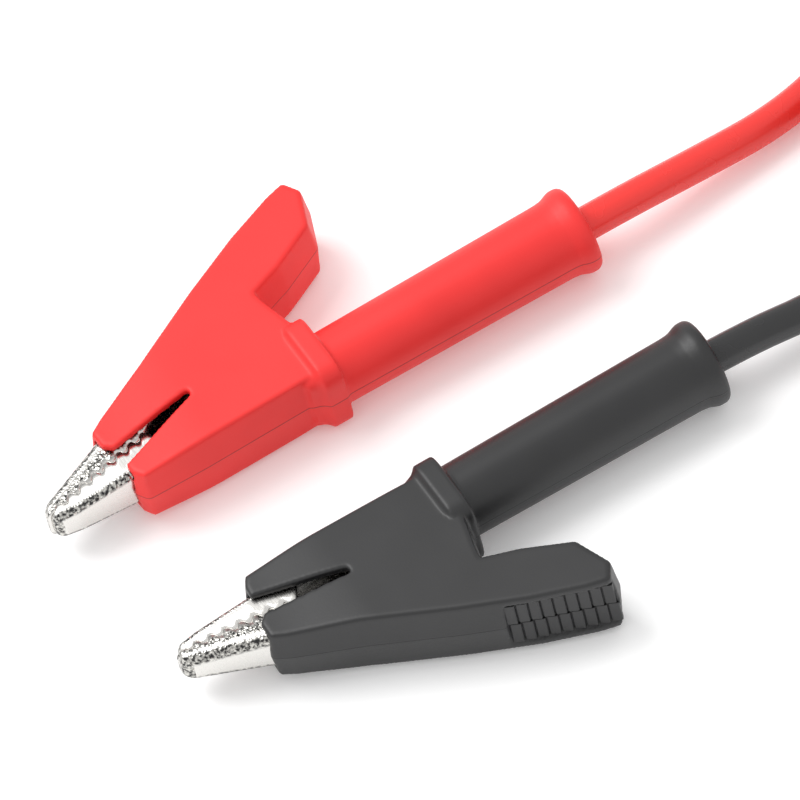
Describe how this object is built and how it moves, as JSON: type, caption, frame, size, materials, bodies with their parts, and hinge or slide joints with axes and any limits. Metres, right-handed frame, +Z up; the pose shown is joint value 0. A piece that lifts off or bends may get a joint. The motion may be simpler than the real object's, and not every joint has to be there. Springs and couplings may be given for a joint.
{
  "type": "alligator clip lead",
  "caption": "Test lead pair, red and black: shrouded sprung alligator clips on insulated cords, coiled and joined in a twin banana plug.",
  "frame": {"origin": "on the resting plane, under the middle of the two clips", "axes": "+X along the clips from jaws to cords, +Z up out of the resting plane, the red clip on the +Y side"},
  "size_m": [0.2301, 0.07, 0.0181],
  "materials": {
    "red_pvc": "satin",
    "black_pvc": "satin",
    "red_cord": "glossy",
    "black_cord": "glossy",
    "red_relief": "satin",
    "black_relief": "satin",
    "nickel": "bright",
    "spring_steel": "plain",
    "copper": "bare",
    "contact_brass": "plain",
    "tie": "matt",
    "plug_nylon": "matt"
  },
  "bodies": {
    "root": {"red_boot_body": "red_pvc", "red_fixed_jaw": "nickel", "red_pivot_rivet": "nickel", "red_jaw_spring": "spring_steel", "red_conductor": "copper", "red_cord_root": "red_cord", "red_cord": "red_cord", "red_cord_tail": "red_cord", "red_coil": "red_cord", "red_plug_relief": "red_relief", "red_plug_contact": "contact_brass", "red_clamp_screw": "spring_steel", "red_banana_pin": "nickel", "red_plug_wire": "red_cord", "black_boot_body": "black_pvc", "black_fixed_jaw": "nickel", "black_pivot_rivet": "nickel", "black_jaw_spring": "spring_steel", "black_conductor": "copper", "black_cord_root": "black_cord", "black_cord": "black_cord", "black_cord_tail": "black_cord", "black_coil": "black_cord", "black_plug_relief": "black_relief", "black_plug_contact": "contact_brass", "black_clamp_screw": "spring_steel", "black_banana_pin": "nickel", "black_plug_wire": "black_cord", "coil_tie_1": "tie", "coil_tie_2": "tie", "plug_base": "plug_nylon", "plug_cover": "plug_nylon", "plug_screw_1": "spring_steel", "plug_screw_2": "spring_steel"},
    "red_jaw": {"red_boot_lever": "red_pvc", "red_lever_jaw": "nickel"},
    "black_jaw": {"black_boot_lever": "black_pvc", "black_lever_jaw": "nickel"}
  },
  "joints": [
    {"name": "red_jaw_hinge", "type": "hinge", "parent": "root", "child": "red_jaw", "pos_m": [-0.00932, 0.0184, 0.0051], "axis": [0, 0, -1], "range_deg": [0, 22], "stiffness_Nm_per_rad": 0.15, "springref_deg": -34.38, "deforming": ["red_jaw_spring"]},
    {"name": "black_jaw_hinge", "type": "hinge", "parent": "root", "child": "black_jaw", "pos_m": [-0.00708, -0.0184, 0.0051], "axis": [0, 0, 1], "range_deg": [0, 22], "stiffness_Nm_per_rad": 0.15, "springref_deg": -34.38, "deforming": ["black_jaw_spring"]}
  ]
}
